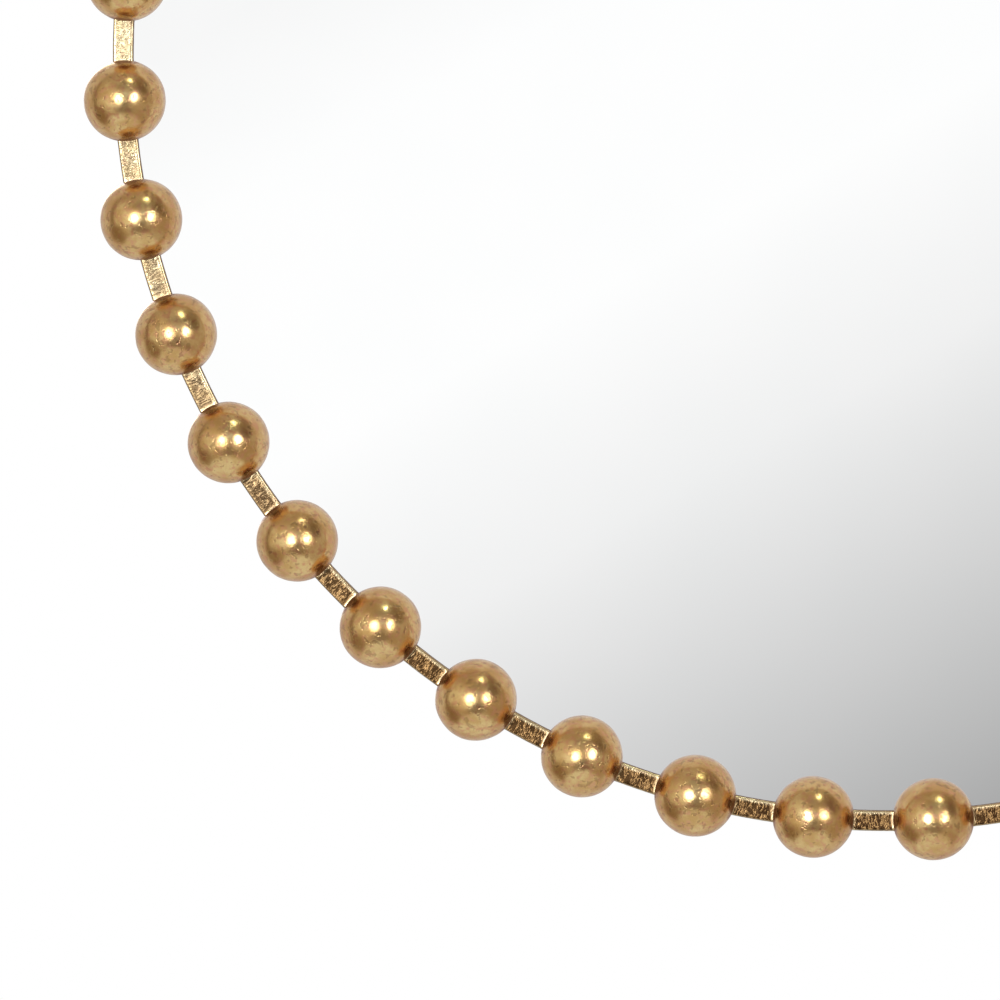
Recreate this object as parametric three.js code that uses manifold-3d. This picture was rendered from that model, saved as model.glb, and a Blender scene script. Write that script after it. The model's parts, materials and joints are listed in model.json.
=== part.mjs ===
// A round wall mirror framed by a ring of gilded iron balls on a flat hoop.
// Millimetres, +Z up. The mirror faces -Y and hangs on a wall at y = 0, with the
// origin on the wall behind the middle of the glass.
import * as THREE from 'three';
import { mergeVertices } from 'three/addons/utils/BufferGeometryUtils.js';
import Module from 'manifold-3d';

const wasm = await Module();
wasm.setup();

// ---- Driving dimensions ---------------------------------------------------

// Ring of balls: solid iron, coated with gesso and leaf
const BALL_COUNT = 40;
const BALL_CIRCLE_R = 361.75;
const BALL_R = 19.25;

// Hoop: flat bar rolled to a ring, which shows as a short link between two balls
const HOOP_WIDTH = 9.5;
const HOOP_THICKNESS = 5;
const HOOP_AHEAD = 1.5; // its front face, ahead of the balls' centres
const HOOP_CHAMFER = 1.2; // along both front edges

// Rim band: thin flat iron on edge, welded behind the hoop round the glass
const BAND_WALL = 1.5;

// Filling: glazing tape, silvered glass and back panel
const TAPE_THICKNESS = 0.8;
const TAPE_SETBACK = 1; // behind the hoop's inner edge, out of sight
const GLASS_THICKNESS = 5;
const GLASS_ARRIS = 0.8;
const PANEL_THICKNESS = 9;

// Retaining tabs: soft steel tabs folded over the back panel
const TAB_COUNT = 6;
const TAB_WIDTH = 16;
const TAB_LAP = 12; // over the back panel
const TAB_CORNER_R = 4;
const TAB_THICKNESS = 1.2;

// Hangers: a rolled strap held by one screw, and a loose D-ring in its eye
const HANGER_ELEVATION_DEG = 29; // above the middle of the mirror
const HANGER_INSET = 34; // eye, in from the panel's edge
const STRAP_WIDTH = 13;
const STRAP_THICKNESS = 1.2;
const STRAP_SEAM_DEG = 200; // where the rolled eye ends, from level
const RING_WIRE_R = 1.3;
const RING_CORNER_R = 3;
const RING_LEG = 7.5; // straight part of each side

// Hanger screws
const SCREW_HEAD_R = 4;
const SCREW_HEAD_HEIGHT = 2.4;
const SCREW_SHANK_R = 1.9;
const SCREW_COVER = 2.5; // board left ahead of the screw's point
const SCREW_POINT = 2;
const PILOT_EXTRA = 0.8; // how much deeper the pilot hole runs

// Rubber bumpers low on the back
const BUMPER_R = 10;
const BUMPER_EDGE = 1.5;
const BUMPER_SPREAD_DEG = 21; // to each side of straight down
const BUMPER_INSET = 31; // in from the panel's edge

// Clearances
const WELD_GAP = 0.3; // ball over the hoop and band that carry it
const EDGE_GAP = 0.8; // glass and panel inside the rim band
const EYE_GAP = 0.3; // ring wire in the strap's eye, and over the strap
const EYE_END_GAP = 1; // straight wire left outside each end of the eye
const SCREW_GAP = 0.2; // shank in the strap's hole and the pilot hole
const SWING_GAP = 1.2; // ring past the screw's head
const WALL_GAP = 2.4; // wall behind the rearmost metal

// Facets
const STEPS_PER_BALL = 2; // hoop facets from one ball to the next
const BALL_DETAIL = 4;
const SMALL_STEPS = 12;
const WIRE_STEP_COUNT = 26;
const WIRE_SIDE_COUNT = 8;

// ---- Derived sizes --------------------------------------------------------

const RING_STEPS = BALL_COUNT * STEPS_PER_BALL;
const BALL_PITCH = (2 * Math.PI) / BALL_COUNT;

const HOOP_OUTER_R = BALL_CIRCLE_R + HOOP_WIDTH / 2;
const HOOP_INNER_R = BALL_CIRCLE_R - HOOP_WIDTH / 2;
const BAND_INNER_R = HOOP_OUTER_R - BAND_WALL;
const FILLING_R = BAND_INNER_R - EDGE_GAP;

const EYE_INNER_R = RING_WIRE_R + EYE_GAP;
const EYE_OUTER_R = EYE_INNER_R + STRAP_THICKNESS;
const BALL_CENTRE_AHEAD = PANEL_THICKNESS + GLASS_THICKNESS + TAPE_THICKNESS
  + HOOP_THICKNESS - HOOP_AHEAD; // of the panel's back
const BUMPER_HEIGHT = Math.max(2 * EYE_OUTER_R, BALL_R - BALL_CENTRE_AHEAD) + WALL_GAP;

// The layers, from the wall forwards
const PANEL_BACK_Y = -BUMPER_HEIGHT;
const GLASS_BACK_Y = PANEL_BACK_Y - PANEL_THICKNESS;
const GLASS_FRONT_Y = GLASS_BACK_Y - GLASS_THICKNESS;
const HOOP_BACK_Y = GLASS_FRONT_Y - TAPE_THICKNESS;
const HOOP_FRONT_Y = HOOP_BACK_Y - HOOP_THICKNESS;
const BALL_Y = PANEL_BACK_Y - BALL_CENTRE_AHEAD;

// D-ring, measured to the middle of its wire
const RING_HALF_WIDTH = STRAP_WIDTH / 2 + EYE_END_GAP + RING_CORNER_R;
const RING_DROP = RING_CORNER_R + RING_LEG + RING_HALF_WIDTH;
const SCREW_DROP = RING_DROP + RING_WIRE_R + SWING_GAP + SCREW_HEAD_R;
const SCREW_DEPTH = PANEL_THICKNESS - SCREW_COVER;
const SCREW_HOLE_R = SCREW_SHANK_R + SCREW_GAP;

const HANGER_R = FILLING_R - HANGER_INSET;
const HANGER_ELEVATION = THREE.MathUtils.degToRad(HANGER_ELEVATION_DEG);
const HANGER_X = HANGER_R * Math.cos(HANGER_ELEVATION);
const HANGER_Z = HANGER_R * Math.sin(HANGER_ELEVATION);

const BUMPER_SPREAD = THREE.MathUtils.degToRad(BUMPER_SPREAD_DEG);
const BUMPER_X = (FILLING_R - BUMPER_INSET) * Math.sin(BUMPER_SPREAD);
const BUMPER_Z = -(FILLING_R - BUMPER_INSET) * Math.cos(BUMPER_SPREAD);

const SIDES = [['left', -1], ['right', 1]];

// ---- Finishes -------------------------------------------------------------

/** Maker of a finish, so that every piece gets a material of its own. */
function finish(color, roughness, metalness) {
  return () => new THREE.MeshStandardMaterial({ color, roughness, metalness });
}
const ballGilding = finish('#b58a50', 0.28, 1);
const hoopGilding = finish('#c2a068', 0.38, 1);
const blackIron = finish('#26221f', 0.6, 0.4);
const mirrorSilver = finish('#e6e8e9', 0.03, 1);
const fibreboard = finish('#8a6a48', 0.9, 0);
const zincSteel = finish('#a9abad', 0.42, 1);
const foamTape = finish('#1d1d1e', 0.95, 0);
const blackRubber = finish('#1a1a1b', 0.8, 0);

// ---- Shared geometry ------------------------------------------------------

/** Solid of revolution about Y from [radius, y] corners, the outer wall towards +Y. */
function turned(corners, steps = RING_STEPS) {
  return new THREE.LatheGeometry(corners.map(([r, y]) => new THREE.Vector2(r, y)), steps);
}

/** Ring of rectangular section between two radii and two levels. */
function turnedRing(innerR, outerR, frontY, backY) {
  return turned([
    [innerR, frontY],
    [outerR, frontY],
    [outerR, backY],
    [innerR, backY],
    [innerR, frontY],
  ]);
}

/** Plate of the given outline, drawn in X and Y, as thick as depth along Z. */
function plate(outline, depth) {
  return new THREE.ExtrudeGeometry(outline, {
    depth, bevelEnabled: false, curveSegments: SMALL_STEPS / 2,
  });
}

/** Geometry as a solid that can be cut. */
function toSolid(geometry) {
  const bare = new THREE.BufferGeometry();
  bare.setAttribute('position', geometry.getAttribute('position').clone());
  if (geometry.index) bare.setIndex(geometry.index.clone());
  const merged = mergeVertices(bare);
  const corners = merged.index.array;
  const kept = [];
  for (let i = 0; i < corners.length; i += 3) {
    const [a, b, c] = corners.slice(i, i + 3);
    if (a !== b && b !== c && c !== a) kept.push(a, b, c);
  }
  const mesh = new wasm.Mesh({
    numProp: 3,
    vertProperties: merged.getAttribute('position').array,
    triVerts: Uint32Array.from(kept),
  });
  return new wasm.Manifold(mesh);
}

/** Cut solid as a geometry again. */
function toGeometry(solid) {
  const mesh = solid.getMesh();
  const geometry = new THREE.BufferGeometry();
  geometry.setAttribute('position', new THREE.BufferAttribute(mesh.vertProperties, 3));
  geometry.setIndex(new THREE.BufferAttribute(mesh.triVerts, 1));
  return geometry;
}

/** Named mesh with a finish of its own. */
function piece(name, geometry, makeFinish) {
  const mesh = new THREE.Mesh(geometry, makeFinish());
  mesh.name = name;
  return mesh;
}

const mirror = new THREE.Group();

// ---- Hoop and rim band ----------------------------------------------------

const hoop = turned([
  [HOOP_INNER_R, HOOP_FRONT_Y + HOOP_CHAMFER],
  [HOOP_INNER_R + HOOP_CHAMFER, HOOP_FRONT_Y],
  [HOOP_OUTER_R - HOOP_CHAMFER, HOOP_FRONT_Y],
  [HOOP_OUTER_R, HOOP_FRONT_Y + HOOP_CHAMFER],
  [HOOP_OUTER_R, HOOP_BACK_Y],
  [HOOP_INNER_R, HOOP_BACK_Y],
  [HOOP_INNER_R, HOOP_FRONT_Y + HOOP_CHAMFER],
]);
mirror.add(piece('hoop', hoop, hoopGilding));

const band = turnedRing(BAND_INNER_R, HOOP_OUTER_R, HOOP_BACK_Y, PANEL_BACK_Y);
mirror.add(piece('rim_band', band, blackIron));

// ---- Balls ----------------------------------------------------------------

/**
 * One ball about its own centre, with +X away from the ring's middle. It is slotted over
 * the hoop, and behind the hoop its inner side is cut away for tape, glass and panel, so
 * that it looks whole from the front and saddles the rim band from outside.
 */
function saddledBall() {
  const slotInnerR = HOOP_INNER_R - WELD_GAP;
  const slotOuterR = HOOP_OUTER_R + WELD_GAP;
  const slotFrontY = HOOP_FRONT_Y - WELD_GAP;
  const stepY = HOOP_BACK_Y - WELD_GAP;
  const farInnerR = BALL_CIRCLE_R - 2 * BALL_R;
  const farBackY = BALL_Y + 2 * BALL_R;
  const saddle = turned([
    [slotInnerR, slotFrontY],
    [slotOuterR, slotFrontY],
    [slotOuterR, farBackY],
    [farInnerR, farBackY],
    [farInnerR, stepY],
    [slotInnerR, stepY],
    [slotInnerR, slotFrontY],
  ]);
  const angle = BALL_PITCH / 2;
  saddle.translate(-BALL_CIRCLE_R * Math.cos(angle), -BALL_Y, -BALL_CIRCLE_R * Math.sin(angle));
  saddle.rotateY(angle);
  const whole = new THREE.OctahedronGeometry(BALL_R, BALL_DETAIL);
  return toGeometry(toSolid(whole).subtract(toSolid(saddle)));
}

const ballShape = saddledBall();
for (let i = 0; i < BALL_COUNT; i += 1) {
  const angle = (i + 0.5) * BALL_PITCH;
  const ball = piece(`ball_${String(i + 1).padStart(2, '0')}`, ballShape.clone(), ballGilding);
  ball.position.set(BALL_CIRCLE_R * Math.cos(angle), BALL_Y, BALL_CIRCLE_R * Math.sin(angle));
  ball.rotation.y = -angle;
  mirror.add(ball);
}

// ---- Glazing tape, glass and back panel -----------------------------------

const tape = turnedRing(HOOP_INNER_R + TAPE_SETBACK, FILLING_R - GLASS_ARRIS, HOOP_BACK_Y, GLASS_FRONT_Y);
mirror.add(piece('glazing_tape', tape, foamTape));

const glass = turned([
  [0, GLASS_FRONT_Y],
  [FILLING_R - GLASS_ARRIS, GLASS_FRONT_Y],
  [FILLING_R, GLASS_FRONT_Y + GLASS_ARRIS],
  [FILLING_R, GLASS_BACK_Y - GLASS_ARRIS],
  [FILLING_R - GLASS_ARRIS, GLASS_BACK_Y],
  [0, GLASS_BACK_Y],
]);
mirror.add(piece('mirror_glass', glass, mirrorSilver));

/** Round back panel with a blind pilot hole for each hanger screw. */
function drilledPanel() {
  const holeDepth = SCREW_DEPTH + PILOT_EXTRA;
  let panel = toSolid(turned([
    [0, GLASS_BACK_Y],
    [FILLING_R, GLASS_BACK_Y],
    [FILLING_R, PANEL_BACK_Y],
    [0, PANEL_BACK_Y],
  ]));
  for (const [, sign] of SIDES) {
    const drill = new THREE.CylinderGeometry(SCREW_HOLE_R, SCREW_HOLE_R, 2 * holeDepth, SMALL_STEPS);
    drill.translate(sign * HANGER_X, PANEL_BACK_Y, HANGER_Z - SCREW_DROP);
    panel = panel.subtract(toSolid(drill));
  }
  return toGeometry(panel);
}
mirror.add(piece('back_panel', drilledPanel(), fibreboard));

// ---- Retaining tabs -------------------------------------------------------

/** Flat tab from the rim band's rear edge over the panel, rounded at its inner end. */
function retainingTab() {
  const half = TAB_WIDTH / 2;
  const innerX = FILLING_R - TAB_LAP;
  const outerX = HOOP_OUTER_R - WELD_GAP;
  const cornerX = innerX + TAB_CORNER_R;
  const cornerY = half - TAB_CORNER_R;
  const outline = new THREE.Shape();
  outline.moveTo(outerX, -half);
  outline.lineTo(outerX, half);
  outline.lineTo(cornerX, half);
  outline.absarc(cornerX, cornerY, TAB_CORNER_R, Math.PI / 2, Math.PI, false);
  outline.absarc(cornerX, -cornerY, TAB_CORNER_R, Math.PI, (3 * Math.PI) / 2, false);
  const tab = plate(outline, TAB_THICKNESS);
  tab.rotateX(Math.PI / 2);
  return tab.translate(0, PANEL_BACK_Y + TAB_THICKNESS, 0);
}

for (let i = 0; i < TAB_COUNT; i += 1) {
  const tab = piece(`retaining_tab_${i + 1}`, retainingTab(), zincSteel);
  tab.rotation.y = -(i * 2 * Math.PI) / TAB_COUNT;
  mirror.add(tab);
}

// ---- Hangers --------------------------------------------------------------

/** Strap that lies below its rolled eye, with a round lower end and a screw hole. */
function hangerStrap() {
  const half = STRAP_WIDTH / 2;
  const seam = THREE.MathUtils.degToRad(STRAP_SEAM_DEG);
  // Side view: the flat runs from its far end into the eye, which rolls back over it
  const side = new THREE.Shape();
  side.moveTo(-SCREW_DROP - half, 0);
  side.absarc(0, EYE_OUTER_R, EYE_OUTER_R, -Math.PI / 2, seam, false);
  side.absarc(0, EYE_OUTER_R, EYE_INNER_R, seam, -Math.PI / 2, true);
  side.lineTo(-SCREW_DROP - half, STRAP_THICKNESS);
  const bent = plate(side, STRAP_WIDTH);
  bent.translate(0, 0, -half);
  bent.rotateY(-Math.PI / 2); // length along Z, width along X
  // Plan view: a tongue with a round end, taller than the eye
  const tongue = new THREE.Shape();
  tongue.moveTo(half, 2 * EYE_OUTER_R);
  tongue.lineTo(-half, 2 * EYE_OUTER_R);
  tongue.lineTo(-half, -SCREW_DROP);
  tongue.absarc(0, -SCREW_DROP, half, Math.PI, 2 * Math.PI, false);
  const height = 4 * EYE_OUTER_R;
  const trim = plate(tongue, height);
  trim.rotateX(Math.PI / 2);
  trim.translate(0, height - EYE_OUTER_R, 0);
  const hole = new THREE.CylinderGeometry(SCREW_HOLE_R, SCREW_HOLE_R, height, SMALL_STEPS);
  hole.translate(0, 0, -SCREW_DROP);
  return toGeometry(toSolid(bent).intersect(toSolid(trim)).subtract(toSolid(hole)));
}

/** D-ring hanging from its straight side, which lies along X through the local origin. */
function hangerRing() {
  const w = RING_HALF_WIDTH;
  const c = RING_CORNER_R;
  const line = new THREE.Path();
  line.moveTo(-w + c, 0);
  line.lineTo(w - c, 0);
  line.absarc(w - c, -c, c, Math.PI / 2, 0, true);
  line.lineTo(w, w - RING_DROP);
  line.absarc(0, w - RING_DROP, w, 0, -Math.PI, true);
  line.lineTo(-w, -c);
  line.absarc(-w + c, -c, c, Math.PI, Math.PI / 2, true);
  const points = line.getSpacedPoints(WIRE_STEP_COUNT).slice(0, -1);
  const wire = new THREE.CatmullRomCurve3(points.map((p) => new THREE.Vector3(p.x, 0, p.y)), true);
  return new THREE.TubeGeometry(wire, WIRE_STEP_COUNT, RING_WIRE_R, WIRE_SIDE_COUNT, true);
}

/** Pan-head screw, its head's seat at the local origin and its point towards -Y. */
function hangerScrew() {
  const pointY = -STRAP_THICKNESS - SCREW_DEPTH;
  return turned([
    [0, pointY],
    [SCREW_SHANK_R, pointY + SCREW_POINT],
    [SCREW_SHANK_R, 0],
    [SCREW_HEAD_R, 0],
    [SCREW_HEAD_R, SCREW_HEAD_HEIGHT / 2],
    [SCREW_HEAD_R * 0.7, SCREW_HEAD_HEIGHT],
    [0, SCREW_HEAD_HEIGHT],
  ], SMALL_STEPS);
}

for (const [side, sign] of SIDES) {
  const hanger = new THREE.Group();
  hanger.position.set(sign * HANGER_X, PANEL_BACK_Y, HANGER_Z);
  hanger.add(piece(`hanger_strap_${side}`, hangerStrap(), zincSteel));
  const ring = piece(`hanger_ring_${side}`, hangerRing(), zincSteel);
  ring.position.y = EYE_OUTER_R;
  hanger.add(ring);
  const screw = piece(`hanger_screw_${side}`, hangerScrew(), zincSteel);
  screw.position.set(0, STRAP_THICKNESS, -SCREW_DROP);
  hanger.add(screw);
  mirror.add(hanger);
}

// ---- Wall bumpers ---------------------------------------------------------

for (const [side, sign] of SIDES) {
  const bumper = turned([
    [0, PANEL_BACK_Y],
    [BUMPER_R, PANEL_BACK_Y],
    [BUMPER_R, -BUMPER_EDGE],
    [BUMPER_R - BUMPER_EDGE, 0],
    [0, 0],
  ], SMALL_STEPS);
  const foot = piece(`wall_bumper_${side}`, bumper, blackRubber);
  foot.position.set(sign * BUMPER_X, 0, BUMPER_Z);
  mirror.add(foot);
}

export default mirror;
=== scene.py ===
"""Looks of a round wall mirror in a ring of gold-leafed balls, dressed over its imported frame.

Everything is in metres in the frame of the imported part: +Z up, the mirror faces -Y, and the wall
that it hangs on is the plane y = 0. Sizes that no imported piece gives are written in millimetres.
"""
import json
import logging
import math
import sys
from collections.abc import Sequence
from dataclasses import dataclass, field
from enum import Enum

import bmesh
import bpy
from mathutils import Euler, Matrix, Vector, noise

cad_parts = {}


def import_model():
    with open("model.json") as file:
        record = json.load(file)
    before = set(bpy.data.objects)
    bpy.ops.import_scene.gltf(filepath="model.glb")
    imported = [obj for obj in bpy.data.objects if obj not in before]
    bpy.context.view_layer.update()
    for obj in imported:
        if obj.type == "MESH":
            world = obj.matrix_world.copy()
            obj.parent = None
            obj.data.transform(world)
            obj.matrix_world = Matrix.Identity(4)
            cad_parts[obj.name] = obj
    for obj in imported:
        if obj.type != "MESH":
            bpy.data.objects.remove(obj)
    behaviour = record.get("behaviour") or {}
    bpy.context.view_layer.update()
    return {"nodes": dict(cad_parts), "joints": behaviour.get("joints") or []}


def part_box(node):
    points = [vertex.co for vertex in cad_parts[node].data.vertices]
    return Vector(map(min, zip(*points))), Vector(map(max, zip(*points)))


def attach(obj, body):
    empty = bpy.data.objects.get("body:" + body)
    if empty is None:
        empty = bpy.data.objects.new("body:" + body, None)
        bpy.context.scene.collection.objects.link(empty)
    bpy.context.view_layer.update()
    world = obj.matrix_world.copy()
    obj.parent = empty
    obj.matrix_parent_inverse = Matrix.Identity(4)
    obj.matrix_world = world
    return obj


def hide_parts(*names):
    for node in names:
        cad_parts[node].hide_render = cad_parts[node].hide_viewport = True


MM = 0.001
NEAR = 1e-6  # Places closer than this, in metres, are one.
FRAME_BODY = "frame"

Box = tuple[Vector, Vector]
Section = Sequence[tuple[float, float, float]]
Shape = bmesh.types.BMesh
Edges = list[bmesh.types.BMEdge]
Material = bpy.types.Material
Tree = bpy.types.NodeTree
Link = bpy.types.Node | bpy.types.NodeSocket
Inputs = dict[str | int, object]

log = logging.getLogger("mirror")


class Side(Enum):
    """Which of a pair of fittings on the back."""

    LEFT = "left"
    RIGHT = "right"


# ---- Helpers for materials ------------------------------------------------


def linear(hex_colour: str) -> tuple[float, float, float, float]:
    """Turn an sRGB hex colour into the linear values that a shader takes.

    Args:
        hex_colour: Colour as "#rrggbb".

    Returns:
        Linear red, green, blue and an alpha of one.
    """
    channels = [int(hex_colour[i : i + 2], 16) / 255 for i in (1, 3, 5)]
    red, green, blue = (c / 12.92 if c <= 0.04045 else ((c + 0.055) / 1.055) ** 2.4 for c in channels)
    return red, green, blue, 1.0


def per_mm(size: float) -> float:
    """Texture scale on Object coordinates, in metres, that gives features of a size in millimetres."""
    return 1 / (size * MM)


def add_node(tree: Tree, kind: str, inputs: Inputs | None = None, **settings: object) -> bpy.types.Node:
    """Add a node with its settings, its constants and its links.

    Args:
        tree: Node tree that the node goes into.
        kind: Blender's name for the kind of node, without the "ShaderNode" before it.
        inputs: Socket name or number to a constant, an output, or a node, whose first live output
            is then linked.
        **settings: Properties of the node itself.

    Returns:
        The new node.
    """
    node = tree.nodes.new(f"ShaderNode{kind}")
    for name, value in settings.items():
        setattr(node, name, value)
    for key, value in (inputs or {}).items():
        if isinstance(value, bpy.types.Node):
            value = next(output for output in value.outputs if output.enabled)
        if isinstance(value, bpy.types.NodeSocket):
            tree.links.new(value, node.inputs[key])
        else:
            node.inputs[key].default_value = value
    return node


def empty_material(name: str) -> Material:
    """New material whose node tree holds nothing yet."""
    material = bpy.data.materials.new(name)
    material.use_nodes = True
    material.node_tree.nodes.clear()
    return material


def set_ramp(ramp: bpy.types.Node, stops: Sequence[tuple[float, str]]) -> None:
    """Give a colour ramp its stops.

    Args:
        ramp: Colour ramp node.
        stops: Position from 0 to 1 and sRGB hex colour of each stop, in order.
    """
    elements = ramp.color_ramp.elements
    while len(elements) < len(stops):
        elements.new(1.0)
    for element, (position, colour) in zip(elements, stops):
        element.position = position
        element.color = linear(colour)


# ---- Finishes -------------------------------------------------------------


@dataclass(frozen=True)
class Grain:
    """One noise in a finish.

    Attributes:
        size_mm: Size of its features.
        detail: How many finer layers it has.
        distortion: How far it is drawn into swirls.
        roughness: How strong the finer layers are.
        levels: Two of its levels, which become 0 and 1 with soft ends. Left out, it stays as it is.
    """

    size_mm: float
    detail: float
    distortion: float = 0.0
    roughness: float = 0.5
    levels: tuple[float, float] | None = None

    def laid(self, tree: Tree, place: Link) -> bpy.types.Node:
        """Lay the noise over a surface.

        Args:
            tree: The material's node tree.
            place: Object coordinates.

        Returns:
            Node that gives the noise.
        """
        inputs = {"Vector": place, "Scale": per_mm(self.size_mm), "Detail": self.detail}
        inputs |= {"Distortion": self.distortion, "Roughness": self.roughness}
        pattern = add_node(tree, "TexNoise", inputs)
        if self.levels is None:
            return pattern
        low, high = self.levels
        inputs = {"Value": pattern, "From Min": low, "From Max": high}
        return add_node(tree, "MapRange", inputs, interpolation_type="SMOOTHSTEP")


@dataclass(frozen=True)
class Finish:
    """Finish of one surface, on Object coordinates."""

    name: str

    def build(self) -> Material:
        """Make the material.

        Returns:
            A new procedural material.
        """
        material = empty_material(self.name)
        tree = material.node_tree
        place = add_node(tree, "TexCoord").outputs["Object"]
        shader = add_node(tree, "BsdfPrincipled", self.surface(tree, place))
        add_node(tree, "OutputMaterial", {"Surface": shader})
        return material

    def surface(self, tree: Tree, place: Link) -> Inputs:
        """Lay the finish's patterns.

        Args:
            tree: The material's node tree.
            place: Object coordinates.

        Returns:
            What the patterns and the constants give each of the shader's inputs.
        """
        raise NotImplementedError


@dataclass(frozen=True)
class GoldLeaf(Finish):
    """Gold leaf laid over bole and gesso on iron, and burnished; it reads the attribute "rubbed".

    The leaf is thin metal with a soft gloss and slow clouds of a deeper and a rosier gold. Fine
    grit under it makes small pits. It turns to the brown bole where the attribute says: wear on the
    hoop's arrises, and painted shade on the balls where the hoop goes into them.
    """

    leaf: str = "#efcf8e"
    deep_leaf: str = "#d9af6b"
    rosy_leaf: str = "#e2ad7c"
    # Brown of the bole: wear where the leaf is worn through, and on the balls also painted shade next to the
    # hoop.
    bole_and_shade: str = "#9c6230"
    pit: str = "#6b4420"
    pit_tint: float = 0.3
    gloss_roughness: float = 0.16
    cloudy_roughness: float = 0.23
    worn_and_shaded_roughness: float = 0.4
    worn_and_shaded_metallic: float = 0.7
    lacquer: float = 0.65
    lacquer_roughness: float = 0.35
    wrinkle: Grain = Grain(1.4, 3.0, distortion=0.6)
    wrinkle_depth_mm: float = 0.085
    wrinkled_patch: Grain = Grain(8.0, 2.0, levels=(0.4, 0.65))
    dent: Grain = Grain(7.0, 1.5)
    dent_depth_mm: float = 0.06
    grit: Grain = Grain(2.8, 2.0, distortion=0.4, levels=(0.59, 0.64))
    pit_depth_mm: float = 0.06
    cloud: Grain = Grain(9.0, 4.0, levels=(0.35, 0.65))
    blush: Grain = Grain(2.6, 3.0, levels=(0.45, 0.7))
    smear_and_shade: Grain = Grain(2.24, 4.0, distortion=1.0)
    smear_and_shade_reach: float = 0.55
    smear_and_shade_levels: tuple[float, float] = (0.62, 0.95)

    def surface(self, tree: Tree, place: Link) -> Inputs:
        """Lay leaf, clouds, age, smears and marks over one another.

        Args:
            tree: The material's node tree.
            place: Object coordinates.

        Returns:
            The shader's inputs.
        """
        cloud, blush = self.cloud.laid(tree, place), self.blush.laid(tree, place)
        mark, mark_tint = self.marks(tree, place)
        # Painted shade on the balls next to the hoop, and wear on the hoop's arrises, both turn the leaf to
        # the bole's brown here.
        rubbed_and_shade = add_node(tree, "Attribute", attribute_name="rubbed_and_shade").outputs["Fac"]
        reach = {0: rubbed_and_shade, 1: self.smear_and_shade_reach, 2: self.smear_and_shade.laid(tree, place)}
        worn_and_shaded = add_node(tree, "Math", reach, operation="MULTIPLY_ADD")
        low, high = self.smear_and_shade_levels
        inputs = {"Value": worn_and_shaded, "From Min": low, "From Max": high}
        smear_and_shade = add_node(tree, "MapRange", inputs, interpolation_type="SMOOTHSTEP")

        tones = [(cloud, self.deep_leaf), (blush, self.rosy_leaf), *self.painted_shade_tones(tree)]
        colour = linear(self.leaf)
        for share, tone in (*tones, (smear_and_shade, self.bole_and_shade), (mark_tint, self.pit)):
            colour = add_node(tree, "Mix", {"Factor": share, 6: colour, 7: linear(tone)}, data_type="RGBA")

        glossy = {"Value": cloud, "To Min": self.gloss_roughness, "To Max": self.cloudy_roughness}
        rough = {"Value": smear_and_shade, "To Min": add_node(tree, "MapRange", glossy), "To Max": self.worn_and_shaded_roughness}
        metallic = {"Value": smear_and_shade, "To Min": 1.0, "To Max": self.worn_and_shaded_metallic}

        relief: Inputs = {}
        for height, strength, depth_mm in (
            (self.dent.laid(tree, place), 1.0, self.dent_depth_mm),
            (self.wrinkle.laid(tree, place), self.wrinkled_patch.laid(tree, place), self.wrinkle_depth_mm),
            (mark, 1.0, -self.pit_depth_mm),
        ):
            inputs = {"Height": height, "Strength": strength, "Distance": depth_mm * MM}
            relief = {"Normal": add_node(tree, "Bump", inputs | relief)}
        return relief | {
            "Base Color": colour,
            "Metallic": add_node(tree, "MapRange", metallic),
            "Roughness": add_node(tree, "MapRange", rough),
            "Coat Weight": self.lacquer,
            "Coat Roughness": self.lacquer_roughness,
        }

    def marks(self, tree: Tree, place: Link) -> tuple[Link, Link]:
        """Scatter small pits from grit under the leaf.

        Args:
            tree: The material's node tree.
            place: Object coordinates.

        Returns:
            How deep each place is, and how far it takes the pits' tone.
        """
        pit = self.grit.laid(tree, place)
        return pit, add_node(tree, "Math", {0: pit, 1: self.pit_tint}, operation="MULTIPLY")

    def painted_shade_tones(self, tree: Tree) -> list[tuple[Link, str]]:
        """Painted shade laid over the gold, each tone with its share; plain leaf has none."""
        return []


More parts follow.
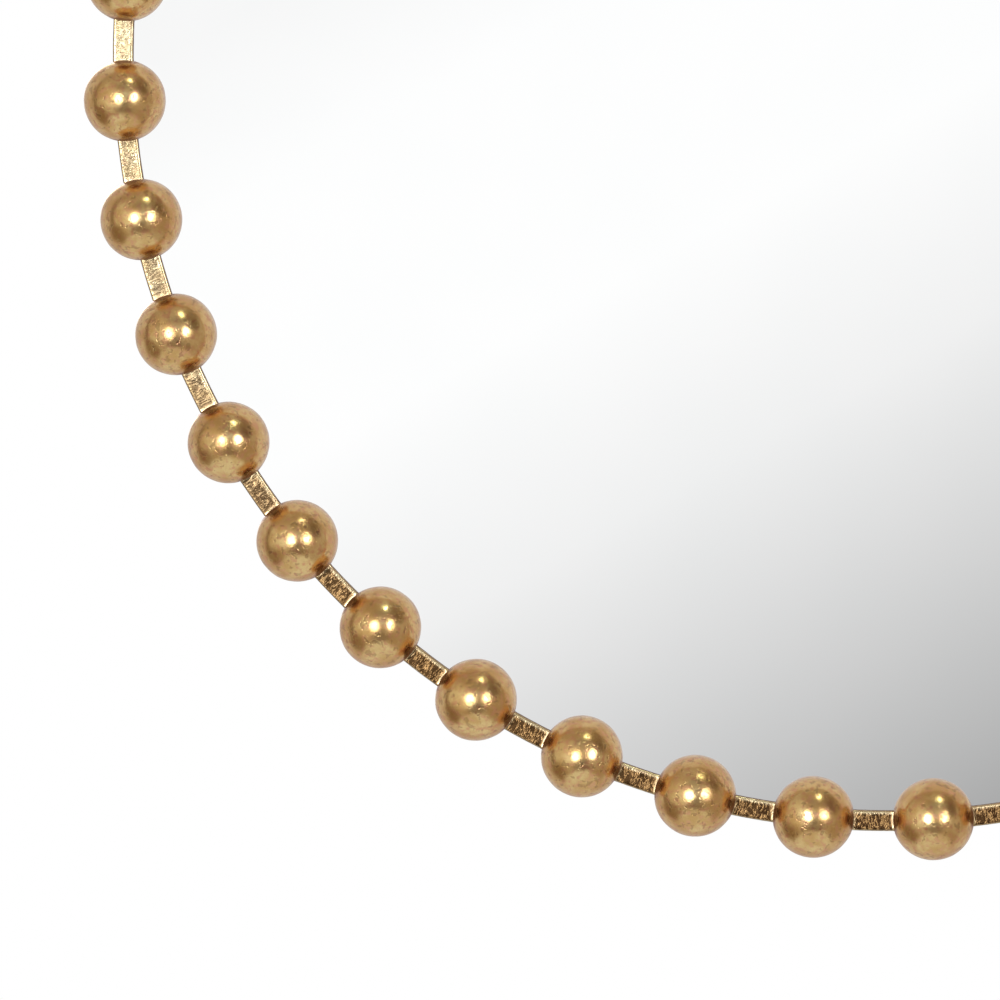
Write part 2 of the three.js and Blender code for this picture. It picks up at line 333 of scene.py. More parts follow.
@dataclass(frozen=True)
class TooledLeaf(GoldLeaf):
    """Leaf over gesso that was combed crosswise while soft, so that grooves catch dark patina.

    The grooves run across the bar and wander into swirls. A plain border is left along the edges.
    Painted shade darkens the panel towards the bottom of the hoop and makes its grooves denser and
    darker there; the border is kept out of it and so stands as a painted highlight on the lower bars.
    It also reads the attributes "unrolled" and "panel", and one for the painted shade.
    """

    # Tone of the painted shade that darkens the panel towards the bottom of the hoop.
    lower_shade: str = "#a17f53"
    groove_mm: tuple[float, float] = (1.5, 4.2)
    groove_detail: float = 2.0
    groove_distortion: float = 1.6
    groove_levels: tuple[float, float] = (0.48, 0.62)
    # How much denser the grooves grow under full painted shade, and how dark they are without it.
    lower_shade_reach: float = 0.09
    unshaded_tint: float = 0.35

    def panel_and_lower_shade(self, tree: Tree) -> list[Link]:
        """How far each place lies in the tooled panel, and how much painted shade it takes there."""
        return [add_node(tree, "Attribute", attribute_name=a).outputs["Fac"] for a in ("panel", "lower_shade")]

    def marks(self, tree: Tree, place: Link) -> tuple[Link, Link]:
        """Comb grooves across the bar.

        Args:
            tree: The material's node tree.
            place: Object coordinates, which the grooves don't follow.

        Returns:
            How deep each place is, and how far it takes the grooves' dark tone.
        """
        panel, lower_shade = self.panel_and_lower_shade(tree)
        unrolled = add_node(tree, "Attribute", attribute_name="unrolled").outputs["Vector"]
        along, across = (per_mm(size) for size in self.groove_mm)
        combed = add_node(tree, "Mapping", {"Vector": unrolled, "Scale": (along, along, across)})
        inputs = {"Vector": combed, "Scale": 1.0, "Detail": self.groove_detail}
        stroke = add_node(tree, "TexNoise", inputs | {"Distortion": self.groove_distortion})
        # Painted shade: towards the bottom of the hoop the grooves grow denser and darker.
        reach = add_node(tree, "Math", {0: lower_shade, 1: self.lower_shade_reach, 2: stroke}, operation="MULTIPLY_ADD")
        low, high = self.groove_levels
        inputs = {"Value": reach, "From Min": low, "From Max": high}
        dip = add_node(tree, "MapRange", inputs, interpolation_type="SMOOTHSTEP")
        groove = add_node(tree, "Math", {0: dip, 1: panel}, operation="MULTIPLY")
        inputs = {"Value": lower_shade, "To Min": self.unshaded_tint, "To Max": self.pit_tint}
        share = add_node(tree, "MapRange", inputs)
        return groove, add_node(tree, "Math", {0: groove, 1: share}, operation="MULTIPLY")

    def painted_shade_tones(self, tree: Tree) -> list[tuple[Link, str]]:
        """Painted shade that darkens the tooled panel towards the bottom of the hoop and leaves its border
        bright.
        """
        panel, lower_shade = self.panel_and_lower_shade(tree)
        return [(add_node(tree, "Math", {0: lower_shade, 1: panel}, operation="MULTIPLY"), self.lower_shade)]


@dataclass(frozen=True)
class MottledSurface(Finish):
    """Plain surface with a fine grain: paint, plated steel, rubber, foam or fibreboard.

    Two close tones and two roughnesses follow one noise, and a finer one gives the bump.
    """

    tone: str
    second_tone: str
    roughness: tuple[float, float]
    mottle_mm: float
    grain_mm: float
    grain_depth_mm: float = 0.02
    metallic: float = 0.0
    mottle_levels: tuple[float, float] = (0.3, 0.7)

    def surface(self, tree: Tree, place: Link) -> Inputs:
        """Lay mottle and grain.

        Args:
            tree: The material's node tree.
            place: Object coordinates.

        Returns:
            The shader's inputs.
        """
        mottle = Grain(self.mottle_mm, 4.0, roughness=0.6).laid(tree, place)
        grain = Grain(self.grain_mm, 3.0, roughness=0.65).laid(tree, place)
        low, high = self.mottle_levels
        share = add_node(tree, "MapRange", {"Value": mottle, "From Min": low, "From Max": high})
        tones = {"Factor": share, 6: linear(self.tone), 7: linear(self.second_tone)}
        low, high = self.roughness
        bump = {"Height": grain, "Strength": 1.0, "Distance": self.grain_depth_mm * MM}
        return {
            "Base Color": add_node(tree, "Mix", tones, data_type="RGBA"),
            "Metallic": self.metallic,
            "Roughness": add_node(tree, "MapRange", {"Value": share, "To Min": low, "To Max": high}),
            "Normal": add_node(tree, "Bump", bump),
        }


@dataclass(frozen=True)
class Silvering(Finish):
    """Silver behind float glass, seen from the front; it varies by a hair's breadth of tone."""

    silver: str = "#ffffff"
    hazy_silver: str = "#fcfdfd"
    haze: Grain = Grain(60.0, 1.0)
    roughness: float = 0.0

    def surface(self, tree: Tree, place: Link) -> Inputs:
        """Lay the haze.

        Args:
            tree: The material's node tree.
            place: Object coordinates.

        Returns:
            The shader's inputs.
        """
        haze = self.haze.laid(tree, place)
        tones = {"Factor": haze, 6: linear(self.silver), 7: linear(self.hazy_silver)}
        colour = add_node(tree, "Mix", tones, data_type="RGBA")
        return {"Base Color": colour, "Metallic": 1.0, "Roughness": self.roughness}


# Burnished gold leaf under thin shellac: a warm mirror, broken by wrinkles and grit of 1 to 3 mm.
# The real wrinkles are finer; they are drawn this coarse so that they show.
BALL_LEAF = GoldLeaf("gold_leaf_on_balls")
# The same leaf without shellac on combed gesso, in a paler tone than on the balls: painted light above, and
# painted shade that browns it towards the bottom.
HOOP_LEAF = TooledLeaf(
    "gold_leaf_on_hoop",
    leaf="#e6d7b0",
    deep_leaf="#d3bd90",
    rosy_leaf="#d9bd96",
    bole_and_shade="#6b4a28",
    pit="#412c19",
    pit_tint=0.9,
    lacquer=0.0,
    wrinkle=Grain(1.5, 3.0, distortion=0.6),
    wrinkle_depth_mm=0.03,
    dent=Grain(4.0, 1.5),
    dent_depth_mm=0.05,
    smear_and_shade=Grain(2.4, 4.0, distortion=1.0),
)
# Clear float glass, silvered behind: a near-perfect mirror with a faint cool cast.
SILVERED_GLASS = Silvering("silvered_float_glass")
# Brush-painted mild steel: a dull black with a faint orange-peel skin.
BLACK_IRON = MottledSurface("black_painted_iron", "#1b1a19", "#2a2725", (0.42, 0.6), 9.0, 0.7, 0.03)
# Ground edge of float glass: satin, with the green of its iron.
GLASS_EDGE = MottledSurface("seamed_glass_edge", "#7fa596", "#95b8a9", (0.25, 0.4), 5.0, 0.5, 0.01)
# Protective paint over the silver: an even, slightly satin grey.
BACKING_PAINT = MottledSurface("grey_backing_paint", "#8b8f90", "#969a9b", (0.45, 0.6), 14.0, 0.6, 0.01)
# Medium-density fibreboard, sanded: matt brown with a fine fleck of short fibres.
FIBREBOARD = MottledSurface("sanded_fibreboard", "#94714b", "#a9855c", (0.78, 0.92), 3.0, 0.5, 0.04)
# Closed-cell polyethylene foam: soot black with a fine open skin and no shine.
FOAM_TAPE = MottledSurface("closed_cell_foam_tape", "#19191a", "#232324", (0.85, 0.98), 2.0, 0.4, 0.05)
# Bright zinc on pressed steel: a cool grey metal with cloudy gloss.
ZINC_PLATE = MottledSurface("bright_zinc_plate", "#a4a7aa", "#bfc1c2", (0.24, 0.38), 4.0, 0.5, metallic=1.0)
# Bare weld metal: dark grey, uneven and slightly glossy.
WELD_BEAD = MottledSurface("bare_weld_bead", "#5d5a57", "#7d746b", (0.35, 0.5), 2.0, 0.4, 0.05, metallic=1.0)
# Moulded rubber: near black, matt, with a fine bloom.
RUBBER = MottledSurface("moulded_black_rubber", "#161617", "#202021", (0.6, 0.75), 3.0, 0.35)


# ---- Helpers for meshes ---------------------------------------------------


def round_corners(bm: Shape, corners: Sequence[bmesh.types.BMVert], size: float, steps: int) -> None:
    """Round corners of an outline.

    Args:
        bm: Shape that holds them.
        corners: Corners to round.
        size: How far the rounding reaches.
        steps: Segments in each rounding; one gives a flat bevel.
    """
    bmesh.ops.bevel(
        bm, geom=corners, offset=size, offset_type="OFFSET", affect="VERTICES",
        segments=steps, profile=0.5, material=-1,
    )


def close_up(bm: Shape) -> None:
    """Merge the ends that meet, and point every face outwards."""
    bmesh.ops.remove_doubles(bm, verts=bm.verts, dist=NEAR)
    bmesh.ops.recalc_face_normals(bm, faces=bm.faces)


def drawn_section(corners: Section, closed: bool, round_steps: int = 4) -> Shape:
    """Draw a section as edges, with its corners rounded.

    Args:
        corners: Radius, level along Y and rounding of each corner, in metres.
        closed: True for a ring's section, False for one that starts and ends on the axis.
        round_steps: Segments in each rounded corner.

    Returns:
        The section in the plane of X and Y.
    """
    bm = bmesh.new()
    verts = [bm.verts.new((radius, level, 0.0)) for radius, level, _ in corners]
    followers = [*verts[1:], verts[0]] if closed else verts[1:]
    for pair in zip(verts, followers):
        bm.edges.new(pair)
    for vert, (_, _, rounding) in zip(verts, corners):
        if rounding > 0:
            round_corners(bm, [vert], rounding, round_steps)
    return bm


def turn(bm: Shape, steps: int) -> None:
    """Turn a drawn section once round the Y axis and close it, with its faces pointing outwards.

    An eighth of the turn is spun and then copied round, which is much quicker than one long spin.

    Args:
        bm: Section, which becomes the turned solid.
        steps: Number of steps in the full turn, a multiple of eight.
    """
    parts = 8
    share = 2 * math.pi / parts
    about = {"cent": (0, 0, 0), "axis": (0, 1, 0)}
    bmesh.ops.spin(bm, geom=[*bm.verts, *bm.edges], angle=share, steps=steps // parts, **about)
    bmesh.ops.spin(
        bm, geom=[*bm.verts, *bm.edges, *bm.faces], angle=share * (parts - 1), steps=parts - 1,
        use_duplicate=True, **about,
    )
    close_up(bm)


def turned_plate(inner: float, box: Box, rounding: float, round_steps: int = 2, steps: int = 720) -> Shape:
    """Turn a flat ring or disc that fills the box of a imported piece.

    Args:
        inner: Radius of its opening, 0 for a disc.
        box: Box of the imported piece.
        rounding: How far its edges are rounded.
        round_steps: Segments in the rounding; one gives a flat bevel.
        steps: Number of steps in the full turn.

    Returns:
        The plate about the Y axis.
    """
    (_, low, _), (outer, high, _) = box
    at_hole = rounding if inner else 0.0
    corners = [(inner, low, at_hole), (outer, low, rounding), (outer, high, rounding), (inner, high, at_hole)]
    bm = drawn_section(corners, inner > 0, round_steps)
    turn(bm, steps)
    return bm


def turned_stub(corners: Section, box: Box, steps: int) -> Shape:
    """Turn a small solid about the middle of its packed box.

    Args:
        corners: Radius, level along Y and rounding of each corner of its section.
        box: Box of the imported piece.
        steps: Number of steps in the full turn.

    Returns:
        The solid, in place.
    """
    low, high = box
    bm = drawn_section(corners, closed=False)
    turn(bm, steps)
    bmesh.ops.translate(bm, vec=((low.x + high.x) / 2, 0, (low.z + high.z) / 2), verts=bm.verts)
    return bm


def cut_plate(
    corners: Sequence[tuple[float, float]], level: float, thickness: float, rounding: float, round_steps: int
) -> Shape:
    """Cut a plate to an outline whose first two corners are rounded.

    Args:
        corners: Its outline as X and Z.
        level: Level of one face along Y.
        thickness: Distance from there to its other face.
        rounding: How far the two corners are rounded.
        round_steps: Segments in each of them.

    Returns:
        The plate, closed.
    """
    bm = bmesh.new()
    verts = [bm.verts.new((x, level, z)) for x, z in corners]
    bm.faces.new(verts)
    round_corners(bm, verts[:2], rounding, round_steps)
    raised = bmesh.ops.extrude_face_region(bm, geom=bm.faces[:])["geom"]
    far_side = [v for v in raised if isinstance(v, bmesh.types.BMVert)]
    bmesh.ops.translate(bm, vec=(0, thickness, 0), verts=far_side)
    bmesh.ops.recalc_face_normals(bm, faces=bm.faces)
    return bm


def break_edges(bm: Shape, size: float, over_degrees: float = 50.0, segments: int = 2) -> None:
    """Round every edge where two faces meet at more than an angle.

    Args:
        bm: Solid to work on.
        size: How far the rounding reaches from the edge.
        over_degrees: Least angle between the faces.
        segments: Segments in the rounding.
    """
    bm.normal_update()
    least = math.radians(over_degrees)
    hard = [e for e in bm.edges if len(e.link_faces) == 2 and e.calc_face_angle() > least]
    bmesh.ops.bevel(
        bm, geom=hard, offset=size, offset_type="OFFSET", affect="EDGES",
        segments=segments, profile=0.5, material=-1, clamp_overlap=True,
    )


def carved(bm: Shape, cutter: Shape) -> Shape:
    """Cut one solid out of another.

    Args:
        bm: Solid to cut; it is freed.
        cutter: Solid to take away; it is freed.

    Returns:
        What is left.
    """
    pair = []
    for shape in (bm, cutter):
        mesh = bpy.data.meshes.new("carving")
        shape.to_mesh(mesh)
        shape.free()
        thing = bpy.data.objects.new("carving", mesh)
        bpy.context.scene.collection.objects.link(thing)
        pair.append(thing)
    solid, tool = pair
    cut = solid.modifiers.new("cut", "BOOLEAN")
    cut.object, cut.operation, cut.solver = tool, "DIFFERENCE", "EXACT"
    rest = bmesh.new()
    rest.from_object(solid, bpy.context.evaluated_depsgraph_get())
    for thing in pair:
        mesh = thing.data
        bpy.data.objects.remove(thing)
        bpy.data.meshes.remove(mesh)
    bmesh.ops.recalc_face_normals(rest, faces=rest.faces)
    return rest


def finished_piece(
    name: str,
    bm: Shape,
    materials: Sequence[Material],
    body: str = FRAME_BODY,
    sharp_degrees: float = 40.0,
) -> bpy.types.Object:
    """Turn a shape into a finished object that rides on a body.

    Args:
        name: Name of the piece.
        bm: Its shape, in place; it is freed.
        materials: Its material slots, in order.
        body: Body that it moves with.
        sharp_degrees: Edges sharper than this stay hard.

    Returns:
        The object, at the origin, unturned and unscaled.
    """
    mesh = bpy.data.meshes.new(name)
    bm.to_mesh(mesh)
    bm.free()
    mesh.shade_smooth()
    mesh.set_sharp_from_angle(angle=math.radians(sharp_degrees))
    for material in materials:
        mesh.materials.append(material)
    piece = bpy.data.objects.new(name, mesh)
    bpy.context.scene.collection.objects.link(piece)
    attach(piece, body)
    log.info("%s: %d faces", name, len(mesh.polygons))
    return piece


def fractal(point: Vector, size: float, octaves: int = 3) -> float:
    """Smooth noise of about -1 to 1.

    Args:
        point: Place in metres.
        size: Size of its broadest features in metres.
        octaves: How many finer layers are added.

    Returns:
        The noise at that place.
    """
    return noise.fractal(point / size, 1.0, 2.0, octaves, noise_basis="PERLIN_ORIGINAL")


def set_wear_and_shade(mesh: bpy.types.Mesh, name: str, values: Sequence[float]) -> None:
    """Store how far a kind of wear or painted shade has gone at each vertex, from 0 to 1, for the leaf to
    read.

    Args:
        mesh: Mesh of the piece.
        name: Kind of mark: wear on the hoop's arrises together with painted shade where the hoop goes into
            the balls, painted shade that darkens the hoop towards the bottom, or "panel" for the area that
            was tooled.
        values: One value per vertex.
    """
    mesh.attributes.new(name, "FLOAT", "POINT").data.foreach_set("value", values)


def step_between(value: float, low: float, high: float) -> float:
    """Share of the way from one level to another, from 0 to 1."""
    return min(1.0, max(0.0, (value - low) / (high - low)))


# ---- Gilded balls and hoop ------------------------------------------------


@dataclass
class BallRing:
    """Gilded balls saddled over the hoop.

    Attributes:
        count: Number of balls in the ring.
        circle: Radius of the circle through their centres.
        radius: Radius of a ball.
        centre_y: Level of their centres.
        cut_y: Level behind which the inner side is cut away.
        cut_radius: Radius from the mirror's middle inside which it is cut away.
    """

    count: int
    circle: float
    radius: float
    centre_y: float
    cut_y: float
    cut_radius: float
    fineness: int = 5
    swell_mm: float = 0.12
    swell_size_mm: float = 14.0
    dent_mm: float = 0.05
    dent_size_mm: float = 4.0
    # Painted shade next to the hoop, drawn as leaf worn through to the bole, starts this far from the hoop's
    # line and fades out over the reach below.
    seam_mm: float = 5.0
    rub_and_shade_reach_mm: float = 5.0
    cut_clear_mm: float = 0.1
    leaf: GoldLeaf = field(default_factory=lambda: BALL_LEAF)

    def angle(self, index: int) -> float:
        """Angle of a ball from +X towards +Z."""
        return (index + 0.5) * 2 * math.pi / self.count

    def centre(self, index: int) -> Vector:
        """Middle of a ball."""
        angle = self.angle(index)
        return Vector((self.circle * math.cos(angle), self.centre_y, self.circle * math.sin(angle)))

    def nearest(self, angle: float) -> int:
        """Index of the ball nearest to an angle."""
        return round(angle * self.count / (2 * math.pi) - 0.5)

    def saddled_ball(self) -> Shape:
        """Shape one ball about its own centre, with +X away from the mirror's middle.

        Returns:
            A fine ball whose inner rear quarter is cut away and closed.
        """
        bm = bmesh.new()
        bmesh.ops.create_icosphere(bm, subdivisions=self.fineness, radius=self.radius)
        edge = Vector((self.cut_radius - self.circle, self.cut_y - self.centre_y, 0))
        for across in (Vector((0, 1, 0)), Vector((1, 0, 0))):
            whole = [*bm.verts, *bm.edges, *bm.faces]
            bmesh.ops.bisect_plane(bm, geom=whole, dist=NEAR, plane_co=edge, plane_no=across)
        middles = ((f, f.calc_center_median()) for f in bm.faces)
        quarter = [f for f, middle in middles if middle.y > edge.y and middle.x < edge.x]
        bmesh.ops.delete(bm, geom=quarter, context="FACES")
        ends = [v for v in bm.verts if v.is_boundary and (v.co - edge).xy.length < 10 * NEAR]
        ridge = bm.edges.new(ends)
        for axis in ("x", "y"):
            level = getattr(edge, axis)
            rim = [
                e for e in bm.edges
                if e.is_boundary and all(abs(getattr(v.co, axis) - level) < 10 * NEAR for v in e.verts)
            ]
            bmesh.ops.contextual_create(bm, geom=[*{*rim, ridge}])
        bmesh.ops.recalc_face_normals(bm, faces=bm.faces)
        return bm

    def build(self) -> None:
        """Make every ball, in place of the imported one."""
        gold = self.leaf.build()
        shape = self.saddled_ball()
        template = bpy.data.meshes.new("saddled_ball")
        shape.to_mesh(template)
        shape.free()
        for index in range(self.count):
            self.build_one(index, template, gold)
        bpy.data.meshes.remove(template)

    def build_one(self, index: int, template: bpy.types.Mesh, gold: Material) -> None:
        """Make one ball with dents of its own.

        Args:
            index: Place in the ring, from 0.
            template: Shape about its own centre.
            gold: Material of the leaf.
        """
        centre = self.centre(index)
        bm = bmesh.new()
        bm.from_mesh(template)
        # Painted shade near the hoop, drawn as leaf worn through to the bole.
        rubbed_and_shade = [self.rub_and_shade_at(vert.co) for vert in bm.verts]
        turned = Matrix.Translation(centre) @ Matrix.Rotation(-self.angle(index), 4, "Y")
        bmesh.ops.transform(bm, matrix=turned, verts=bm.verts)
        clear = self.cut_clear_mm * MM
        for vert in bm.verts:
            if vert.co.y < self.cut_y - clear or vert.co.xz.length > self.cut_radius + clear:
                lift = self.swell_mm * fractal(vert.co, self.swell_size_mm * MM, 2)
                lift += self.dent_mm * fractal(vert.co, self.dent_size_mm * MM, 2)
                vert.co += (vert.co - centre).normalized() * lift * MM
        piece = finished_piece(f"gilded_ball_{index + 1:02d}", bm, [gold])
        set_wear_and_shade(piece.data, "rubbed_and_shade", rubbed_and_shade)
        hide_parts(f"ball_{index + 1:02d}")

    def rub_and_shade_at(self, place: Vector) -> float:
        """How far painted shade, drawn as leaf worn through to the bole, reaches near where the hoop goes
        into the ball.

        Args:
            place: Point of a ball about its own centre, the hoop running along Z.

        Returns:
            From 0, plain leaf, to 1, full painted shade.
        """
        off_hoop = math.hypot(place.x, place.y)
        if abs(place.z) < self.radius / 2:
            return 0.0
        return min(1.0, max(0.0, 1 - (off_hoop - self.seam_mm * MM) / (self.rub_and_shade_reach_mm * MM)))


@dataclass
class Hoop:
    """Flat bar rolled to a ring, under gesso and leaf.

    Attributes:
        inner: Radius of its inner edge.
        outer: Radius of its outer edge.
        front: Level of its front face.
        back: Level of its back face.
        balls: Ring of balls that it carries.
    """

    inner: float
    outer: float
    front: float
    back: float
    balls: BallRing
    steps: int = 2400
    front_round_mm: float = 0.8
    back_round_mm: float = 0.4
    lean_mm: float = 0.06
    front_cuts: int = 10
    ripple_mm: float = 0.03
    ripple_size_mm: float = 3.0
    sag_mm: float = 0.06
    sag_size_mm: float = 11.0
    fillet_mm: float = 0.07
    fillet_reach_mm: float = 0.9
    fillet_depth_mm: float = 1.0
    rubbed_outer: tuple[float, float] = (-0.9, -0.5)
    rubbed_inner: tuple[float, float] = (-0.6, -0.2)
    # Border kept out of the painted shade; on the lower bars it stands as a painted highlight along the
    # edges.
    border_inner_mm: tuple[float, float] = (1.3, 1.8)
    border_outer_mm: tuple[float, float] = (0.3, 0.8)
    border_end_mm: tuple[float, float] = (0.2, 0.9)
    # Depth below the mirror's middle over which the painted shade comes in, darker towards the bottom.
    lower_shade_drop: tuple[float, float] = (0.02, 0.27)
    leaf: TooledLeaf = field(default_factory=lambda: HOOP_LEAF)

    def build(self) -> None:
        """Make the hoop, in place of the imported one."""
        bm = self.section()
        turn(bm, self.steps)
        bm.normal_update()
        rubbed_and_shade = [self.rub_and_shade_at(vert) for vert in bm.verts]
        # Painted shade, darker towards the bottom of the hoop.
        lower_shade = [step_between(-vert.co.z, *self.lower_shade_drop) for vert in bm.verts]
        unrolled = [self.unrolled(vert.co) for vert in bm.verts]
        panel = [self.panel_at(place, vert.co) for place, vert in zip(unrolled, bm.verts)]
        for vert, place in zip(bm.verts, unrolled):
            self.finish_vert(vert, place)
        piece = finished_piece("gilded_hoop", bm, [self.leaf.build()], sharp_degrees=70)
        set_wear_and_shade(piece.data, "rubbed_and_shade", rubbed_and_shade)
        set_wear_and_shade(piece.data, "lower_shade", lower_shade)
        set_wear_and_shade(piece.data, "panel", panel)
        attribute = piece.data.attributes.new("unrolled", "FLOAT_VECTOR", "POINT")
        attribute.data.foreach_set("vector", [c for place in unrolled for c in place])
        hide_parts("hoop")

    def unrolled(self, place: Vector) -> Vector:
        """Unroll the bar from the middle of the first ball, where the jump at its end is hidden.

        Args:
            place: Point of the turned bar.

        Returns:
            Its place along the straight bar, its level and its radius.
        """
        angle = (math.atan2(place.z, place.x) - self.balls.angle(0)) % (2 * math.pi)
        return Vector((angle * self.balls.circle, place.y, place.xz.length))

    def gap_at(self, place: Vector) -> float:
        """Distance from a place to the surface of the nearest ball, below zero inside it."""
        nearest = self.balls.nearest(math.atan2(place.z, place.x))
        return (place - self.balls.centre(nearest)).length - self.balls.radius

    def rub_and_shade_at(self, vert: bmesh.types.BMVert) -> float:
        """How far the leaf is rubbed off the arrises: all of the outer one, half of the inner.

        Args:
            vert: Vertex of the turned bar.

        Returns:
            From 0, whole, to 1, rubbed through.
        """
        middle = (self.inner + self.outer) / 2
        slope = self.rubbed_outer if vert.co.xz.length > middle else self.rubbed_inner
        return step_between(vert.normal.y, *slope)

    def panel_at(self, unrolled: Vector, place: Vector) -> float:
        """How far a place lies in the tooled panel, away from its plain border.

        Args:
            unrolled: Place along the straight bar, level and radius.
            place: The same place on the turned bar.

        Returns:
            From 0, in the border, to 1, in the panel.
        """
        # The border is left out of the painted shade, so that on the lower bars it reads as a painted
        # highlight along the edges.
        radius = unrolled.z
        inner = step_between(radius - self.inner, *(size * MM for size in self.border_inner_mm))
        outer = step_between(self.outer - radius, *(size * MM for size in self.border_outer_mm))
        end = step_between(self.gap_at(place), *(size * MM for size in self.border_end_mm))
        return min(inner, outer, end)

    def section(self) -> Shape:
        """Draw the bar's section, its front face leaning back a little towards its outer edge.

        Returns:
            A closed section in the plane of X and Y.
        """
        front_round, back_round = self.front_round_mm * MM, self.back_round_mm * MM
        corners = [
            (self.inner, self.front, front_round),
            (self.outer, self.front, front_round),
            (self.outer, self.back, back_round),
            (self.inner, self.back, back_round),
        ]
        bm = drawn_section(corners, closed=True)
        ahead = [e for e in bm.edges if max(v.co.y for v in e.verts) < self.front + NEAR]
        flat = max(ahead, key=lambda e: e.calc_length())
        bmesh.ops.subdivide_edges(bm, edges=[flat], cuts=self.front_cuts)
        for vert in bm.verts:
            if vert.co.y < self.front + front_round:
                vert.co.y += self.lean_mm * MM * (vert.co.x - self.inner) / (self.outer - self.inner)
        return bm

    def finish_vert(self, vert: bmesh.types.BMVert, unrolled: Vector) -> None:
        """Give one vertex its share of the ripples and of the fillet at a ball.

        Args:
            vert: Vertex of the turned bar, which is moved.
            unrolled: Its place on the bar as if that were straight.
        """
        gap = self.gap_at(vert.co)
        lift = self.ripple_mm * fractal(unrolled, self.ripple_size_mm * MM)
        lift += self.sag_mm * fractal(unrolled, self.sag_size_mm * MM, 1)
        reach = self.fillet_reach_mm * MM
        if -self.fillet_depth_mm * MM < gap < reach:
            lift += self.fillet_mm * (1 - max(gap, 0.0) / reach) ** 2
        vert.co += vert.normal * lift * MM


# ---- Rim band, tape, glass and panel --------------------------------------


@dataclass
class RimBand:
    """Flat iron on edge behind the hoop, painted black."""

    box: Box
    wall: float
    edge_mm: float = 0.3

    def build(self) -> None:
        """Make the band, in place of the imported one."""
        bm = turned_plate(self.box[1].x - self.wall, self.box, self.edge_mm * MM)
        piece = finished_piece("painted_rim_band", bm, [BLACK_IRON.build()])
        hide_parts("rim_band")


@dataclass
class Glazing:
    """Silvered glass between its foam tape and its back panel."""

    tape_box: Box
    tape_width: float
    glass_box: Box
    panel_box: Box
    tape_edge_mm: float = 0.15
    arris_mm: float = 0.8
    panel_edge_mm: float = 0.5
    flat_cosine: float = 0.99

    def build(self) -> None:
        """Make tape, glass and panel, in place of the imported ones."""
        self.build_tape()
        self.build_glass()
        self.build_panel()

    def build_tape(self) -> None:
        """Make the glazing tape."""
        bm = turned_plate(self.tape_box[1].x - self.tape_width, self.tape_box, self.tape_edge_mm * MM)
        piece = finished_piece("foam_glazing_tape", bm, [FOAM_TAPE.build()])
        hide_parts("glazing_tape")

    def build_glass(self) -> None:
        """Make the glass: silver in front, a green seamed edge and grey paint behind."""
        bm = turned_plate(0.0, self.glass_box, self.arris_mm * MM, round_steps=1)
        bm.normal_update()
        for face in bm.faces:
            if abs(face.normal.y) < self.flat_cosine:
                face.material_index = 1
            elif face.normal.y > 0:
                face.material_index = 2
        materials = [SILVERED_GLASS.build(), GLASS_EDGE.build(), BACKING_PAINT.build()]
        piece = finished_piece("silvered_mirror_glass", bm, materials, sharp_degrees=20)
        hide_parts("mirror_glass")

    def build_panel(self) -> None:
        """Make the fibreboard back panel."""
        bm = turned_plate(0.0, self.panel_box, self.panel_edge_mm * MM, round_steps=1)
        piece = finished_piece("fibreboard_back", bm, [FIBREBOARD.build()])
        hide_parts("back_panel")


# ---- Fittings on the back -------------------------------------------------


@dataclass
class RetainingTabs:
    """Soft steel tabs folded over the panel and tack-welded to the rim band."""

    count: int
    box: Box
    corner_mm: float = 4.0
    edge_mm: float = 0.25
    bead_mm: tuple[float, float, float] = (0.9, 0.7, 5.0)
    bead_level_mm: float = 0.3
    bead_rough_mm: float = 0.25
    bead_rough_size_mm: float = 1.2

    def build(self) -> None:
        """Make every tab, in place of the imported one."""
        plate, weld = ZINC_PLATE.build(), WELD_BEAD.build()
        for index in range(self.count):
            bm = self.tab()
            turned = Matrix.Rotation(-index * 2 * math.pi / self.count, 4, "Y")
            bmesh.ops.transform(bm, matrix=turned, verts=bm.verts)
            piece = finished_piece(f"steel_tab_{index + 1}", bm, [plate, weld])
            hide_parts(f"retaining_tab_{index + 1}")

    def tab(self) -> Shape:
        """Shape the tab on +X, with its weld bead.

        Returns:
            Both as one shape.
        """
        low, high = self.box
        corners = [(low.x, low.z), (low.x, high.z), (high.x, high.z), (high.x, low.z)]
        bm = cut_plate(corners, low.y, high.y - low.y, self.corner_mm * MM, round_steps=8)
        break_edges(bm, self.edge_mm * MM)
        bead = bmesh.ops.create_uvsphere(bm, u_segments=20, v_segments=16, radius=MM)["verts"]
        bmesh.ops.scale(bm, vec=self.bead_mm, verts=bead)
        bmesh.ops.translate(bm, vec=(high.x, low.y + self.bead_level_mm * MM, 0), verts=bead)
        for vert in bead:
            rough = fractal(vert.co, self.bead_rough_size_mm * MM, 2)
            vert.co += vert.normal * self.bead_rough_mm * MM * rough
        for face in {f for v in bead for f in v.link_faces}:
            face.material_index = 1
        return bm


